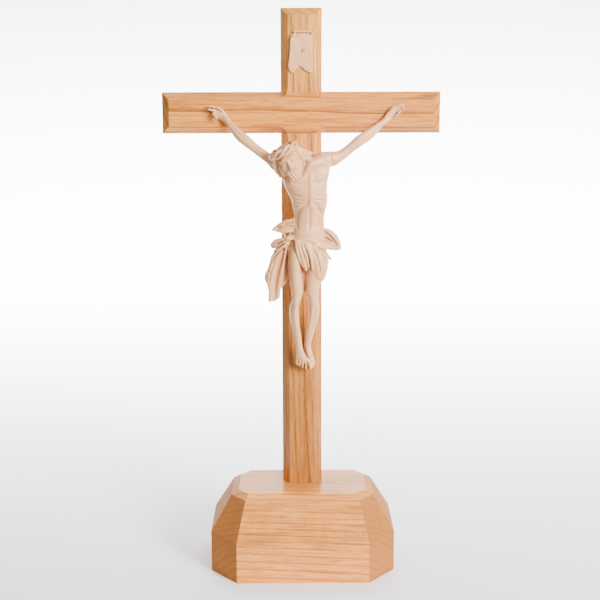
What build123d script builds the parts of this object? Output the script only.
from build123d import *
from math import cos, pi, sin
import os

# Standing altar crucifix: a bevelled oak cross on a faceted oak pedestal, with a carved corpus.
# Millimetres. +Z is up, the front looks along -Y, and the origin is under the middle of the pedestal.

# Pedestal: three eight-sided levels, each with its half-width, half-depth and corner cut
PEDESTAL_HEIGHT = 43.6
WALL_HEIGHT = 22.5
TOP_BEVEL_HEIGHT = 2.3
FOOT_HALF_WIDTH = 49.75
FOOT_HALF_DEPTH = 37.0
FOOT_CORNER_CUT = 17.2
SHOULDER_HALF_WIDTH = 38.7
SHOULDER_HALF_DEPTH = 23.6
SHOULDER_CORNER_CUT = 9.4
TOP_HALF_WIDTH = 34.8
TOP_HALF_DEPTH = 19.2
TOP_CORNER_CUT = 7.0
CORNER_SLANT = 0.845  # a corner cut's run along the width, for each millimetre along the depth

# Cross
UPRIGHT_LENGTH = 256.4  # above the pedestal
TOP_ARM = 53.5  # from the middle of the crossing to the top
CROSSBEAM_LENGTH = 146.0
BEAM_WIDTH = 21.4
BEAM_THICKNESS = 15.0
LAP_DEPTH = 7.5  # how far the crossbeam is let into the upright
BEVEL = 3.8
INSIDE_CORNER_RADIUS = 2.5
FRONT_FACE = 2.0  # front of the cross, ahead of the pedestal's middle

# Tenon and pedestal screw
TENON_WIDTH = 14.0
TENON_THICKNESS = 8.0
TENON_LENGTH = 18.0
MORTISE_GAP = 0.15
SCREW_FIT = 0.1
PEDESTAL_SCREW_DIAMETER = 4.5
PEDESTAL_SCREW_BITE = 14.0
PEDESTAL_SCREW_HEAD_DIAMETER = 9.0
PEDESTAL_SCREW_HEAD_HEIGHT = 3.0
PEDESTAL_SCREW_TOP_DIAMETER = 7.2
PEDESTAL_SCREW_DOME_HEIGHT = 1.2
WASHER_DIAMETER = 14.0
WASHER_THICKNESS = 1.2
COUNTERBORE_DIAMETER = 16.0
COUNTERBORE_DEPTH = 12.0
DRIVE_DIAMETER = 3.2
DRIVE_DEPTH = 1.6

# Fixings of the corpus
CORPUS_SCREW_DIAMETER = 3.5
CORPUS_SCREW_HEAD_DIAMETER = 7.0
CORPUS_SCREW_BITE = 8.0
CORPUS_SCREW_X = 2.0
CORPUS_SCREW_Z = -68.0
PIN_DIAMETER = 1.2
PIN_BITE = 1.6
PIN_IN_BEAM = 5.0
PIN_FIT = 0.05
DOWEL_DIAMETER = 2.0
DOWEL_BITE = 5.0
DOWEL_FIT = 0.05

# Scroll above the head
SCROLL_HALF_WIDTH = 5.8
SCROLL_HEIGHT = 20.0
SCROLL_FOOT = 20.2  # above the middle of the crossing
SCROLL_THICKNESS = 1.4
SCROLL_NOTCH = 3.6
SCROLL_NOTCH_X = -0.6
SCROLL_TIP_INSET = 0.5
SCROLL_FLARE = 0.6
SCROLL_WAIST = 0.2
SCROLL_SWEEP_X = 2.3
SCROLL_SWEEP_RISE = 1.1
SCROLL_CURL_RADIUS = 1.1
SCROLL_PIN_DIAMETER = 1.1
SCROLL_PIN_HEAD = 1.7
SCROLL_PIN_RISE = 11.6
SCROLL_PIN_X = 1.0
SCROLL_PIN_HEAD_HEIGHT = 0.4

# Places that follow from these
CROSS_TOP = PEDESTAL_HEIGHT + UPRIGHT_LENGTH
CROSSING_Z = CROSS_TOP - TOP_ARM
CROSS_BACK = BEAM_THICKNESS - FRONT_FACE
CROSS_MIDDLE = CROSS_BACK - BEAM_THICKNESS / 2
LAP_PLANE = Plane.XZ.offset(FRONT_FACE - LAP_DEPTH)
FRONT_PLANE = Plane.XZ.offset(FRONT_FACE)
BACK_PLANE = Plane.XZ.offset(-CROSS_BACK)

# The corpus, in millimetres from the middle of the crossing's front face: right, out from the cross, up.
# A station is such a point with the half-sizes of its section: across, then square to that.
FACET_COUNT = 8  # knife cuts round each form
LEFT_SEAM = (16.0, 9.0, -23.4)
LEFT_SEAM_DIRECTION = (0.95, 0.0, 0.3)
LEFT_SEAM_SIZE = (3.5, 3.5)
RIGHT_SEAM = (-13.0, 8.5, -26.0)
RIGHT_SEAM_DIRECTION = (-0.95, 0.0, 0.3)
RIGHT_SEAM_SIZE = (3.3, 3.3)

TORSO = [
    (3.0, 10.5, -22.5, 7.5, 3.8),
    (2.2, 11.5, -27.0, 12.0, 5.6),
    (3.4, 13.0, -40.0, 9.9, 7.0),
    (4.1, 12.5, -45.0, 9.3, 6.5),
    (3.8, 11.4, -53.0, 7.8, 5.5),
    (3.2, 9.8, -61.0, 8.8, 6.8),
    (2.2, 8.6, -68.0, 10.6, 9.0),
    (2.0, 8.8, -75.0, 10.4, 8.4),
]
SHOULDERS = [
    (*RIGHT_SEAM, *RIGHT_SEAM_SIZE),
    (-8.0, 9.6, -26.6, 4.5, 4.4),
    (2.0, 10.8, -25.6, 5.0, 5.2),
    (10.0, 10.2, -24.3, 4.6, 4.8),
    (*LEFT_SEAM, *LEFT_SEAM_SIZE),
]
NECK = [
    (3.4, 11.0, -24.5, 4.6, 4.2),
    (0.0, 15.0, -22.6, 3.7, 3.6),
    (-4.0, 18.5, -22.0, 3.6, 3.6),
]
LEFT_ARM = [
    (*LEFT_SEAM, *LEFT_SEAM_SIZE),
    (20.5, 8.6, -21.3, 2.6, 2.9),
    (26.0, 7.8, -17.5, 2.15, 2.5),
    (33.0, 6.5, -12.4, 2.6, 2.3),
    (39.5, 4.2, -7.4, 1.7, 1.75),
    (44.2, 2.2, -3.6, 1.3, 1.3),
]
RIGHT_ARM = [
    (*RIGHT_SEAM, *RIGHT_SEAM_SIZE),
    (-16.5, 8.4, -23.4, 2.6, 2.9),
    (-23.0, 7.9, -18.6, 2.2, 2.5),
    (-31.0, 6.3, -12.3, 2.6, 2.3),
    (-35.3, 4.6, -7.9, 2.0, 1.9),
    (-39.3, 2.2, -3.1, 1.5, 1.4),
]
LEFT_PALM = [
    (43.6, 2.2, -4.1, 1.3, 1.3),
    (46.2, 1.3, -1.4, 2.2, 1.5),
    (48.6, 1.2, 1.0, 2.5, 1.4),
    (50.0, 1.4, 2.2, 1.7, 1.1),
]
RIGHT_PALM = [
    (-38.8, 2.2, -3.6, 1.5, 1.4),
    (-41.0, 1.3, -1.5, 2.4, 1.5),
    (-43.4, 1.2, 0.6, 2.6, 1.4),
    (-44.8, 1.4, 1.6, 1.8, 1.1),
]
# Fingers from knuckle to tip: index, middle, ring, little and thumb
LEFT_FINGERS = [
    [(49.4, 1.6, 2.6, 0.8, 0.8), (51.4, 2.3, 3.7, 0.75, 0.75), (53.4, 2.6, 3.5, 0.6, 0.6)],
    [(50.0, 1.6, 1.8, 0.8, 0.8), (52.0, 2.9, 2.7, 0.75, 0.75), (53.6, 3.6, 2.2, 0.6, 0.6)],
    [(49.9, 1.6, 0.8, 0.8, 0.8), (51.0, 3.2, 0.6, 0.75, 0.75), (50.0, 4.4, -0.3, 0.6, 0.6)],
    [(49.3, 1.6, -0.4, 0.75, 0.75), (50.2, 3.0, -0.9, 0.7, 0.7), (49.0, 4.0, -1.6, 0.6, 0.6)],
    [(46.0, 2.0, 0.2, 0.9, 0.9), (47.2, 3.0, 1.9, 0.8, 0.8), (49.0, 3.6, 3.0, 0.6, 0.6)],
]
RIGHT_FINGERS = [
    [(-44.0, 1.6, 2.1, 0.8, 0.8), (-46.2, 2.3, 3.2, 0.75, 0.75), (-48.2, 2.6, 3.2, 0.6, 0.6)],
    [(-44.6, 1.6, 1.3, 0.8, 0.8), (-46.6, 2.9, 2.0, 0.75, 0.75), (-48.2, 3.6, 1.9, 0.6, 0.6)],
    [(-44.6, 1.6, 0.2, 0.8, 0.8), (-45.6, 3.2, 0.0, 0.75, 0.75), (-44.7, 4.4, -0.9, 0.6, 0.6)],
    [(-44.0, 1.6, -0.9, 0.75, 0.75), (-44.9, 3.0, -1.5, 0.7, 0.7), (-43.7, 4.0, -2.2, 0.6, 0.6)],
    [(-40.6, 2.0, 0.2, 0.9, 0.9), (-41.8, 3.0, 1.8, 0.8, 0.8), (-43.6, 3.6, 2.8, 0.6, 0.6)],
]
RIGHT_THIGH = [
    (-2.4, 10.0, -66.5, 3.0, 4.0),
    (-3.5, 13.4, -75.0, 4.0, 5.3),
    (-3.6, 15.0, -84.0, 3.2, 4.0),
    (-2.9, 16.0, -91.0, 2.6, 3.3),
    (-2.8, 16.4, -97.0, 2.1, 2.6),
]
RIGHT_SHANK = [
    (-2.7, 15.6, -92.0, 1.4, 1.8),
    (-3.4, 14.9, -98.5, 2.3, 2.7),
    (-4.1, 12.4, -104.5, 2.55, 3.0),
    (-2.8, 9.3, -114.0, 2.05, 2.2),
    (-1.5, 7.2, -122.5, 1.6, 1.7),
]
LEFT_THIGH = [
    (6.4, 10.0, -66.5, 3.2, 4.0),
    (7.0, 13.2, -76.0, 4.4, 5.4),
    (6.2, 14.4, -86.0, 3.9, 4.3),
    (5.6, 15.2, -92.0, 3.2, 3.5),
    (5.8, 15.4, -98.0, 2.5, 2.7),
]
LEFT_SHANK = [
    (5.6, 14.6, -92.5, 1.8, 2.0),
    (6.1, 13.6, -99.5, 3.0, 2.9),
    (6.0, 11.2, -105.0, 2.95, 3.1),
    (4.6, 7.2, -114.0, 2.15, 2.3),
    (3.0, 4.2, -122.5, 1.8, 1.8),
]
RIGHT_FOOT = [
    (-1.9, 7.4, -119.0, 0.8, 0.9),
    (-1.3, 6.8, -124.0, 2.1, 2.7),
    (-0.3, 6.2, -129.0, 2.8, 2.5),
    (0.6, 5.7, -132.0, 3.9, 1.8),
    (0.8, 5.5, -133.4, 3.5, 1.4),
]
LEFT_FOOT = [
    (3.6, 4.8, -119.0, 0.9, 0.9),
    (3.2, 3.2, -123.5, 2.3, 2.9),
    (3.7, 2.4, -129.0, 2.3, 2.7),
    (4.2, 1.7, -133.5, 2.6, 2.0),
]
# The right foot's toes lie in a row from the little toe to the great toe
TOE_COUNT = 5
LITTLE_TOE = (-2.7, 5.3, -131.8)
GREAT_TOE = (3.8, 5.2, -134.2)
LITTLE_TOE_RADIUS = 0.65
GREAT_TOE_RADIUS = 0.95
TOE_REACH = 2.2
TOE_TAPER = 0.8  # of the toe's radius, at its tip

# Head, in its own frame: height along the head's axis, set-back, half-width and half-depth
HEAD_CENTRE = (-6.8, 20.0, -22.8)
HEAD_UP = (-0.47, 0.34, 0.81)
HEAD_ACROSS = (0.86, 0.10, 0.50)
FACE = [
    (-9.0, -3.4, 2.2, 2.2),
    (-6.0, -1.9, 4.4, 4.8),
    (-2.0, -0.9, 5.3, 6.2),
    (2.5, 0.0, 5.7, 7.0),
    (6.0, 0.9, 4.2, 4.8),
]
HAIR = [
    (-8.5, 4.0, 4.6, 3.6),
    (-4.5, 2.8, 6.7, 6.0),
    (1.0, 1.8, 7.4, 7.3),
    (5.5, 1.6, 7.0, 7.1),
    (8.8, 1.4, 5.0, 5.2),
    (10.8, 1.4, 1.8, 2.0),
]
BEARD = [
    (-3.5, -2.2, 2.6, 2.8),
    (-7.0, -4.2, 3.9, 3.5),
    (-9.5, -5.2, 2.9, 2.6),
    (-11.8, -6.0, 1.3, 1.2),
]
NOSE = [
    (2.4, -5.6, 0.6, 0.7),
    (-0.6, -7.0, 0.9, 1.1),
    (-2.2, -6.9, 1.2, 1.4),
]
WREATH_LEVEL = 4.6
WREATH_SETBACK = 1.4
WREATH_RADIUS = 7.1
WREATH_THICKNESS = 1.1
RIGHT_LOCK = [
    (-9.5, 18.5, -20.5, 1.8, 2.0),
    (-12.4, 18.4, -25.0, 2.5, 2.6),
    (-11.8, 18.0, -29.0, 1.8, 2.0),
    (-11.2, 17.5, -32.2, 1.1, 1.2),
]
LEFT_LOCK = [
    (-2.0, 20.0, -18.0, 1.8, 2.0),
    (1.6, 18.6, -19.6, 2.5, 2.6),
    (4.2, 15.4, -22.4, 1.1, 1.2),
]

# Loincloth, knotted on the figure's right hip
BAND = [
    (-5.0, 13.0, -63.8, 1.5, 1.6),
    (-1.5, 16.8, -65.2, 1.6, 1.6),
    (4.0, 17.0, -65.8, 1.6, 1.6),
    (10.0, 14.0, -68.4, 1.5, 1.8),
    (16.0, 10.6, -70.4, 1.0, 1.6),
    (19.6, 8.6, -70.4, 0.7, 1.0),
]
FLARE = [
    (7.0, 9.0, -62.5, 2.6, 2.0),
    (11.5, 9.2, -64.4, 5.0, 3.0),
    (15.0, 8.8, -65.9, 4.5, 2.4),
    (18.0, 8.4, -67.8, 3.1, 1.7),
    (20.2, 8.2, -69.8, 1.2, 0.9),
]
THIGH_DRAPE = [
    (5.6, 10.0, -63.0, 4.4, 4.8),
    (7.6, 12.2, -71.0, 6.9, 7.0),
    (8.2, 13.2, -78.0, 5.9, 6.4),
    (8.2, 13.6, -84.0, 4.6, 5.2),
]
DRAPE_CORNER = [
    (8.5, 11.5, -70.0, 2.0, 2.0),
    (12.8, 10.8, -73.6, 2.0, 1.8),
    (15.0, 10.0, -75.8, 0.7, 0.8),
]
CENTRE_FOLDS = [
    (-0.6, 14.0, -63.5, 1.6, 1.4),
    (-1.0, 17.6, -69.0, 2.5, 2.0),
    (0.8, 18.6, -75.5, 2.4, 2.0),
    (2.2, 18.2, -80.8, 0.9, 1.0),
]
UPPER_LOOP = [
    (-1.5, 11.0, -59.4, 2.2, 1.8),
    (-6.5, 12.8, -58.4, 3.2, 2.4),
    (-11.5, 12.4, -58.9, 2.2, 2.0),
    (-15.7, 11.6, -60.2, 0.7, 0.8),
]
KNOT = [
    (-3.0, 12.5, -62.6, 1.8, 1.8),
    (-7.6, 14.4, -63.4, 2.8, 2.8),
    (-10.4, 13.8, -64.6, 1.5, 1.5),
]
SIDE_LOOP = [
    (-4.0, 12.6, -65.0, 1.8, 1.6),
    (-8.5, 14.0, -66.0, 2.8, 2.3),
    (-12.5, 13.0, -66.9, 2.9, 2.0),
    (-15.8, 12.2, -67.8, 1.6, 1.2),
]
LOW_LOOP = [
    (-4.4, 12.0, -66.0, 2.0, 1.6),
    (-9.4, 13.4, -69.0, 3.0, 2.1),
    (-12.8, 12.8, -71.6, 2.7, 1.8),
    (-15.9, 12.2, -74.4, 1.0, 1.0),
]
# The hanging end falls in three pleats
LEFT_PLEAT = [
    (-5.5, 12.0, -64.0, 1.6, 1.4),
    (-12.6, 13.4, -76.0, 3.3, 1.8),
    (-16.3, 12.6, -85.5, 3.4, 1.6),
    (-16.2, 12.0, -97.6, 1.9, 1.2),
]
MIDDLE_PLEAT = [
    (-4.8, 11.4, -64.5, 1.6, 1.4),
    (-10.6, 12.2, -78.0, 2.5, 1.7),
    (-12.8, 11.6, -90.0, 2.0, 1.5),
    (-12.9, 11.4, -96.0, 1.2, 1.1),
]
RIGHT_PLEAT = [
    (-4.0, 11.0, -65.0, 1.6, 1.4),
    (-8.2, 11.2, -79.0, 1.9, 1.6),
    (-9.0, 10.6, -88.0, 1.0, 1.1),
]

# Where the corpus is pinned to the cross: both palms and the left foot, right and up from the crossing
PIN_PLACES = [(-42.2, -0.4), (47.4, -0.2), (3.6, -128.0)]

UP = Vector(0, 0, 1)
ACROSS = Vector(1, 0, 0)


def spot(x, out, z):
    """A point of the corpus in the cross's frame."""
    return Vector(x, -FRONT_FACE - out, CROSSING_Z + z)


def heading(x, out, z):
    """A direction of the corpus in the cross's frame."""
    return Vector(x, -out, z).normalized()


def octagon(half_width, half_depth, corner_cut):
    """Corner points of a rectangle with its corners cut off, going round."""
    inner_x = half_width - corner_cut * CORNER_SLANT
    inner_y = half_depth - corner_cut
    quarter = [(half_width, inner_y), (inner_x, half_depth)]
    half = quarter + [(-x, y) for x, y in reversed(quarter)]
    return half + [(-x, -y) for x, y in half]


def facets(half_width, half_depth, setback=0):
    """A flat-sided section round an ellipse."""
    reach = 1 / cos(pi / FACET_COUNT)
    turns = [2 * pi * (side + 0.5) / FACET_COUNT for side in range(FACET_COUNT)]
    corners = [(reach * half_width * cos(turn), setback + reach * half_depth * sin(turn)) for turn in turns]
    with BuildLine() as outline:
        Polyline(*corners, close=True)
    return outline.edges()


def limb(stations, across, start=None, end=None):
    """A swelling and tapering solid through the stations' sections."""
    points = [spot(*row[:3]) for row in stations]
    last = len(points) - 1
    with BuildPart() as solid:
        for index, row in enumerate(stations):
            run = points[min(index + 1, last)] - points[max(index - 1, 0)]
            if index == 0 and start:
                run = start
            if index == last and end:
                run = end
            run = run.normalized()
            side = across - run * across.dot(run)
            with BuildSketch(Plane(origin=points[index], x_dir=side, z_dir=run)):
                make_face(facets(row[3], row[4]))
        loft(ruled=True)
    return solid.part


def head_form(levels):
    """A solid through sections square to the head's axis."""
    with BuildPart() as solid:
        for level, setback, half_width, half_depth in levels:
            with BuildSketch(HEAD_PLANE.offset(level)):
                make_face(facets(half_width, half_depth, setback))
        loft(ruled=True)
    return solid.part


def screw(axis_plane, head_profile, length, radius):
    """A turned screw blank about the plane's Y axis: a head at its origin, a shank and a point."""
    tip = length - radius
    outline = [(0, 0), *head_profile, (radius, -tip), (0, -length)]
    with BuildPart() as solid:
        with BuildSketch(axis_plane):
            with BuildLine():
                Polyline(*outline, close=True)
            make_face()
        revolve(axis=Axis(axis_plane.origin, axis_plane.y_dir))
    return solid.part


head_up = heading(*HEAD_UP)
HEAD_PLANE = Plane(origin=spot(*HEAD_CENTRE), x_dir=heading(*HEAD_ACROSS), z_dir=head_up)
LEFT_SEAM_PLANE = Plane(origin=spot(*LEFT_SEAM), z_dir=heading(*LEFT_SEAM_DIRECTION))
RIGHT_SEAM_PLANE = Plane(origin=spot(*RIGHT_SEAM), z_dir=heading(*RIGHT_SEAM_DIRECTION))
os.makedirs("parts", exist_ok=True)

# Pedestal block: a straight foot, long sloped facets and a narrow bevel round the top
LEVELS = [
    (WALL_HEIGHT, FOOT_HALF_WIDTH, FOOT_HALF_DEPTH, FOOT_CORNER_CUT),
    (PEDESTAL_HEIGHT - TOP_BEVEL_HEIGHT, SHOULDER_HALF_WIDTH, SHOULDER_HALF_DEPTH, SHOULDER_CORNER_CUT),
    (PEDESTAL_HEIGHT, TOP_HALF_WIDTH, TOP_HALF_DEPTH, TOP_CORNER_CUT),
]
SCREW_AXIS = Plane(origin=(0, CROSS_MIDDLE, 0))
with BuildPart() as pedestal_block:
    with BuildSketch(Plane.XY):
        with BuildLine():
            Polyline(*octagon(FOOT_HALF_WIDTH, FOOT_HALF_DEPTH, FOOT_CORNER_CUT), close=True)
        make_face()
    extrude(amount=WALL_HEIGHT)
    for lower, upper in zip(LEVELS, LEVELS[1:]):
        for level, *sizes in (lower, upper):
            with BuildSketch(Plane.XY.offset(level)):
                with BuildLine():
                    Polyline(*octagon(*sizes), close=True)
                make_face()
        loft(ruled=True)
    with BuildSketch(SCREW_AXIS.offset(PEDESTAL_HEIGHT)):
        Rectangle(TENON_WIDTH + 2 * MORTISE_GAP, TENON_THICKNESS + 2 * MORTISE_GAP)
    extrude(amount=-TENON_LENGTH - MORTISE_GAP, mode=Mode.SUBTRACT)
    with BuildSketch(SCREW_AXIS):
        Circle(PEDESTAL_SCREW_DIAMETER / 2 + SCREW_FIT)
    extrude(amount=PEDESTAL_HEIGHT - TENON_LENGTH, mode=Mode.SUBTRACT)
    with BuildSketch(SCREW_AXIS):
        Circle(COUNTERBORE_DIAMETER / 2)
    extrude(amount=COUNTERBORE_DEPTH, mode=Mode.SUBTRACT)
pedestal_block.part.label = "pedestal_block"
export_step(pedestal_block.part, "parts/pedestal_block.step")

# Bevel round the whole front of the cross: a round cutter leaves the four inside corners curved
with BuildPart() as bevel_envelope:
    with BuildSketch(BACK_PLANE) as outline:
        with Locations((0, PEDESTAL_HEIGHT + UPRIGHT_LENGTH / 2)):
            Rectangle(BEAM_WIDTH, UPRIGHT_LENGTH)
        with Locations((0, CROSSING_Z)):
            Rectangle(CROSSBEAM_LENGTH, BEAM_WIDTH)
        inside = [v for v in outline.vertices() if abs(v.X) < BEAM_WIDTH]
        inside = [v for v in inside if abs(v.Y - CROSSING_Z) < BEAM_WIDTH]
        fillet(inside, radius=INSIDE_CORNER_RADIUS)
    extrude(amount=BEAM_THICKNESS)
    front_edges = bevel_envelope.faces().sort_by(Axis.Y)[0].edges()
    foot_edge = front_edges.sort_by(Axis.Z)[0]
    chamfer([edge for edge in front_edges if edge != foot_edge], length=BEVEL)

# Upright with its stub tenon, and the lap cut across its front for the crossbeam
pedestal_screw_seat = COUNTERBORE_DEPTH - WASHER_THICKNESS
with BuildPart() as upright:
    with BuildSketch(BACK_PLANE):
        with Locations((0, PEDESTAL_HEIGHT + UPRIGHT_LENGTH / 2)):
            Rectangle(BEAM_WIDTH, UPRIGHT_LENGTH)
    extrude(amount=BEAM_THICKNESS)
    add(bevel_envelope.part, mode=Mode.INTERSECT)
    with BuildSketch(LAP_PLANE):
        with Locations((0, CROSSING_Z)):
            Rectangle(BEAM_WIDTH, BEAM_WIDTH)
    extrude(amount=LAP_DEPTH, mode=Mode.SUBTRACT)
    with BuildSketch(SCREW_AXIS.offset(PEDESTAL_HEIGHT)):
        Rectangle(TENON_WIDTH, TENON_THICKNESS)
    extrude(amount=-TENON_LENGTH)
    with BuildSketch(SCREW_AXIS.offset(PEDESTAL_HEIGHT - TENON_LENGTH)):
        Circle(PEDESTAL_SCREW_DIAMETER / 2 + PIN_FIT)
    extrude(amount=PEDESTAL_SCREW_BITE + PIN_FIT, mode=Mode.SUBTRACT)
    with Locations(BACK_PLANE * Pos(CORPUS_SCREW_X, CROSSING_Z + CORPUS_SCREW_Z) * Rot(Y=180)):
        CounterSinkHole(
            radius=CORPUS_SCREW_DIAMETER / 2 + SCREW_FIT,
            counter_sink_radius=CORPUS_SCREW_HEAD_DIAMETER / 2 + SCREW_FIT,
            counter_sink_angle=90,
        )
    foot_pin_x, foot_pin_z = PIN_PLACES[2]
    with BuildSketch(FRONT_PLANE):
        with Locations((foot_pin_x, CROSSING_Z + foot_pin_z)):
            Circle(PIN_DIAMETER / 2 + PIN_FIT)
        with Locations((SCROLL_PIN_X, CROSSING_Z + SCROLL_FOOT + SCROLL_PIN_RISE)):
            Circle(SCROLL_PIN_DIAMETER / 2 + PIN_FIT)
    extrude(amount=-PIN_IN_BEAM - PIN_FIT, mode=Mode.SUBTRACT)
upright.part.label = "upright"
export_step(upright.part, "parts/upright.step")

# Crossbeam, let into the upright from the front
with BuildPart() as crossbeam:
    with BuildSketch(BACK_PLANE):
        with Locations((0, CROSSING_Z)):
            Rectangle(CROSSBEAM_LENGTH, BEAM_WIDTH)
    extrude(amount=BEAM_THICKNESS)
    add(bevel_envelope.part, mode=Mode.INTERSECT)
    with BuildSketch(BACK_PLANE):
        with Locations((0, CROSSING_Z)):
            Rectangle(BEAM_WIDTH, BEAM_WIDTH)
    extrude(amount=BEAM_THICKNESS - LAP_DEPTH, mode=Mode.SUBTRACT)
    with BuildSketch(FRONT_PLANE):
        with Locations([(x, CROSSING_Z + z) for x, z in PIN_PLACES[:2]]):
            Circle(PIN_DIAMETER / 2 + PIN_FIT)
    extrude(amount=-PIN_IN_BEAM - PIN_FIT, mode=Mode.SUBTRACT)
crossbeam.part.label = "crossbeam"
export_step(crossbeam.part, "parts/crossbeam.step")

# Pedestal screw and its washer, up through the pedestal into the tenon
screw_length = PEDESTAL_HEIGHT - TENON_LENGTH - pedestal_screw_seat + PEDESTAL_SCREW_BITE
head_radius = PEDESTAL_SCREW_HEAD_DIAMETER / 2
shank_radius = PEDESTAL_SCREW_DIAMETER / 2
head_foot = pedestal_screw_seat - PEDESTAL_SCREW_HEAD_HEIGHT
pan_head = [
    (PEDESTAL_SCREW_TOP_DIAMETER / 2, 0),
    (head_radius, -PEDESTAL_SCREW_DOME_HEIGHT),
    (head_radius, -PEDESTAL_SCREW_HEAD_HEIGHT),
    (shank_radius, -PEDESTAL_SCREW_HEAD_HEIGHT),
]
screw_plane = Plane(origin=(0, CROSS_MIDDLE, head_foot), x_dir=(1, 0, 0), z_dir=(0, 1, 0))
with BuildPart() as pedestal_screw:
    add(screw(screw_plane, pan_head, screw_length + PEDESTAL_SCREW_HEAD_HEIGHT, shank_radius))
    with BuildSketch(SCREW_AXIS.offset(head_foot)):
        RegularPolygon(DRIVE_DIAMETER / 2, 6)
    extrude(amount=DRIVE_DEPTH, mode=Mode.SUBTRACT)
pedestal_screw.part.label = "pedestal_screw"
export_step(pedestal_screw.part, "parts/pedestal_screw.step")

with BuildPart() as pedestal_washer:
    with BuildSketch(SCREW_AXIS.offset(pedestal_screw_seat)):
        Circle(WASHER_DIAMETER / 2)
        Circle(shank_radius + SCREW_FIT, mode=Mode.SUBTRACT)
    extrude(amount=WASHER_THICKNESS)
pedestal_washer.part.label = "pedestal_washer"
export_step(pedestal_washer.part, "parts/pedestal_washer.step")

# Corpus screw, from the back of the upright into the hips
corpus_head_radius = CORPUS_SCREW_HEAD_DIAMETER / 2
corpus_shank_radius = CORPUS_SCREW_DIAMETER / 2
flat_head = [(corpus_head_radius, 0), (corpus_shank_radius, corpus_shank_radius - corpus_head_radius)]
corpus_screw_plane = Plane(
    origin=(CORPUS_SCREW_X, CROSS_BACK, CROSSING_Z + CORPUS_SCREW_Z), x_dir=(1, 0, 0), z_dir=(0, 0, 1)
)
with BuildPart() as corpus_screw:
    add(screw(corpus_screw_plane, flat_head, BEAM_THICKNESS + CORPUS_SCREW_BITE, corpus_shank_radius))
    with BuildSketch(Plane(origin=corpus_screw_plane.origin, x_dir=(1, 0, 0), z_dir=(0, -1, 0))):
        RegularPolygon(DRIVE_DIAMETER / 2, 6)
    extrude(amount=DRIVE_DEPTH, mode=Mode.SUBTRACT)
corpus_screw.part.label = "corpus_screw"
export_step(corpus_screw.part, "parts/corpus_screw.step")

# Hidden pins behind both palms and the left foot
with BuildPart() as corpus_pins:
    with BuildSketch(FRONT_PLANE.offset(-PIN_IN_BEAM)):
        with Locations([(x, CROSSING_Z + z) for x, z in PIN_PLACES]):
            Circle(PIN_DIAMETER / 2)
    extrude(amount=PIN_IN_BEAM + PIN_BITE)
corpus_pins.part.label = "corpus_pins"
export_step(corpus_pins.part, "parts/corpus_pins.step")

# Shoulder dowels, half in each arm and half in the body
with BuildPart() as shoulder_dowels:
    for seam_plane in (LEFT_SEAM_PLANE, RIGHT_SEAM_PLANE):
        with BuildSketch(seam_plane):
            Circle(DOWEL_DIAMETER / 2)
        extrude(amount=DOWEL_BITE, both=True)
shoulder_dowels.part.label = "shoulder_dowels"
export_step(shoulder_dowels.part, "parts/shoulder_dowels.step")

# Corpus body: head, torso, loincloth and legs carved from one piece
toes = []
for toe in range(TOE_COUNT):
    share = toe / (TOE_COUNT - 1)
    middle = [a + (b - a) * share for a, b in zip(LITTLE_TOE, GREAT_TOE)]
    radius = LITTLE_TOE_RADIUS + (GREAT_TOE_RADIUS - LITTLE_TOE_RADIUS) * share
    root = (middle[0], middle[1], middle[2] + TOE_REACH, radius, radius)
    tip = (middle[0], middle[1], middle[2] - TOE_REACH, radius * TOE_TAPER, radius * TOE_TAPER)
    toes.append(limb([root, (*middle, radius, radius), tip], ACROSS))
upright_forms = [TORSO, NECK, RIGHT_THIGH, LEFT_THIGH, RIGHT_SHANK, LEFT_SHANK, RIGHT_FOOT, LEFT_FOOT]
upright_forms += [THIGH_DRAPE, CENTRE_FOLDS, RIGHT_LOCK, LEFT_PLEAT, MIDDLE_PLEAT, RIGHT_PLEAT]
sideways_forms = [BAND, FLARE, DRAPE_CORNER, UPPER_LOOP, KNOT, SIDE_LOOP, LOW_LOOP, LEFT_LOCK]
shoulders = limb(SHOULDERS, UP, start=-RIGHT_SEAM_PLANE.z_dir, end=LEFT_SEAM_PLANE.z_dir)
forms = [limb(stations, ACROSS) for stations in upright_forms]
forms += [limb(stations, UP) for stations in sideways_forms]
forms += [head_form(levels) for levels in (FACE, HAIR, BEARD, NOSE)]
wreath_centre = HEAD_PLANE.from_local_coords((0, WREATH_SETBACK, WREATH_LEVEL))
with BuildPart() as wreath:
    with BuildSketch(Plane(origin=wreath_centre, x_dir=HEAD_PLANE.x_dir, z_dir=HEAD_PLANE.y_dir)):
        with Locations((WREATH_RADIUS, 0)):
            RegularPolygon(WREATH_THICKNESS, FACET_COUNT)
    revolve(axis=Axis(wreath_centre, HEAD_PLANE.z_dir))
with BuildPart() as corpus_body:
    add([shoulders, *forms, *toes, wreath.part])
    split(bisect_by=FRONT_PLANE, keep=Keep.TOP)
    for seam_plane in (LEFT_SEAM_PLANE, RIGHT_SEAM_PLANE):
        with BuildSketch(seam_plane):
            Circle(DOWEL_DIAMETER / 2 + DOWEL_FIT)
        extrude(amount=-DOWEL_BITE - DOWEL_FIT, mode=Mode.SUBTRACT)
    with BuildSketch(FRONT_PLANE):
        with Locations((foot_pin_x, CROSSING_Z + foot_pin_z)):
            Circle(PIN_DIAMETER / 2 + PIN_FIT)
    extrude(amount=PIN_BITE + PIN_FIT, mode=Mode.SUBTRACT)
    with BuildSketch(FRONT_PLANE):
        with Locations((CORPUS_SCREW_X, CROSSING_Z + CORPUS_SCREW_Z)):
            Circle(corpus_shank_radius + PIN_FIT)
    extrude(amount=CORPUS_SCREW_BITE + PIN_FIT, mode=Mode.SUBTRACT)
corpus_body.part.label = "corpus_body"
export_step(corpus_body.part, "parts/corpus_body.step")


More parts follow.
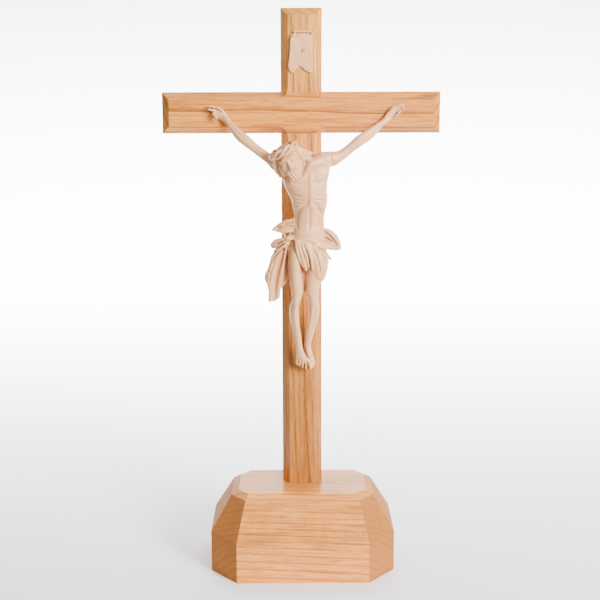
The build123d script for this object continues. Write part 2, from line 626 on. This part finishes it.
def arm(stations, palm, fingers, seam_plane, pin_place):
    """One arm with its hand, flat where it meets the shoulder and the crossbeam."""
    pieces = [limb(stations, UP, start=seam_plane.z_dir)]
    pieces += [limb(rows, UP) for rows in (palm, *fingers)]
    with BuildPart() as solid:
        add(pieces)
        split(bisect_by=FRONT_PLANE, keep=Keep.TOP)
        with BuildSketch(seam_plane):
            Circle(DOWEL_DIAMETER / 2 + DOWEL_FIT)
        extrude(amount=DOWEL_BITE + DOWEL_FIT, mode=Mode.SUBTRACT)
        with BuildSketch(FRONT_PLANE):
            with Locations((pin_place[0], CROSSING_Z + pin_place[1])):
                Circle(PIN_DIAMETER / 2 + PIN_FIT)
        extrude(amount=PIN_BITE + PIN_FIT, mode=Mode.SUBTRACT)
    return solid.part


# Arms, carved apart and glued on at the shoulders
with BuildPart() as corpus_right_arm:
    add(arm(RIGHT_ARM, RIGHT_PALM, RIGHT_FINGERS, RIGHT_SEAM_PLANE, PIN_PLACES[0]))
corpus_right_arm.part.label = "corpus_right_arm"
export_step(corpus_right_arm.part, "parts/corpus_right_arm.step")

with BuildPart() as corpus_left_arm:
    add(arm(LEFT_ARM, LEFT_PALM, LEFT_FINGERS, LEFT_SEAM_PLANE, PIN_PLACES[1]))
corpus_left_arm.part.label = "corpus_left_arm"
export_step(corpus_left_arm.part, "parts/corpus_left_arm.step")

# Scroll: a thin carved sheet with waisted sides, a swallow-tail foot and a rolled head
scroll_middle = SCROLL_FOOT + SCROLL_HEIGHT / 2
scroll_top = SCROLL_FOOT + SCROLL_HEIGHT
with BuildPart() as titulus_scroll:
    with BuildSketch(Plane(origin=spot(0, 0, 0), x_dir=ACROSS, z_dir=FRONT_PLANE.z_dir)):
        with BuildLine():
            left_foot = (SCROLL_TIP_INSET - SCROLL_HALF_WIDTH, SCROLL_FOOT)
            right_foot = (SCROLL_HALF_WIDTH - SCROLL_TIP_INSET, SCROLL_FOOT)
            notch = (SCROLL_NOTCH_X, SCROLL_FOOT + SCROLL_NOTCH)
            left_side = Spline(
                left_foot,
                (-SCROLL_HALF_WIDTH - SCROLL_FLARE, SCROLL_FOOT + SCROLL_NOTCH),
                (SCROLL_WAIST - SCROLL_HALF_WIDTH, scroll_middle),
                (-SCROLL_HALF_WIDTH, scroll_top),
            )
            right_side = Spline(
                right_foot,
                (SCROLL_HALF_WIDTH, SCROLL_FOOT + SCROLL_NOTCH),
                (SCROLL_HALF_WIDTH - SCROLL_WAIST, scroll_middle),
                (SCROLL_HALF_WIDTH, scroll_top),
            )
            Line(left_side @ 1, right_side @ 1)
            Line(left_foot, notch)
            Spline(notch, (SCROLL_SWEEP_X, SCROLL_FOOT + SCROLL_SWEEP_RISE), right_foot)
        make_face()
    extrude(amount=SCROLL_THICKNESS)
    curl_axis = Plane(
        origin=(0, -FRONT_FACE - SCROLL_CURL_RADIUS, CROSSING_Z + scroll_top),
        x_dir=(0, 1, 0),
        z_dir=(1, 0, 0),
    )
    with BuildSketch(curl_axis):
        Circle(SCROLL_CURL_RADIUS)
    extrude(amount=SCROLL_HALF_WIDTH, both=True)
    with BuildSketch(FRONT_PLANE):
        with Locations((SCROLL_PIN_X, CROSSING_Z + SCROLL_FOOT + SCROLL_PIN_RISE)):
            Circle(SCROLL_PIN_DIAMETER / 2 + PIN_FIT)
    extrude(amount=SCROLL_THICKNESS, mode=Mode.SUBTRACT)
titulus_scroll.part.label = "titulus_scroll"
export_step(titulus_scroll.part, "parts/titulus_scroll.step")

# Scroll pin
with BuildPart() as titulus_pin:
    with BuildSketch(FRONT_PLANE.offset(-PIN_IN_BEAM)):
        with Locations((SCROLL_PIN_X, CROSSING_Z + SCROLL_FOOT + SCROLL_PIN_RISE)):
            Circle(SCROLL_PIN_DIAMETER / 2)
    extrude(amount=PIN_IN_BEAM + SCROLL_THICKNESS)
    with BuildSketch(FRONT_PLANE.offset(SCROLL_THICKNESS)):
        with Locations((SCROLL_PIN_X, CROSSING_Z + SCROLL_FOOT + SCROLL_PIN_RISE)):
            Circle(SCROLL_PIN_HEAD / 2)
    extrude(amount=SCROLL_PIN_HEAD_HEIGHT)
titulus_pin.part.label = "titulus_pin"
export_step(titulus_pin.part, "parts/titulus_pin.step")
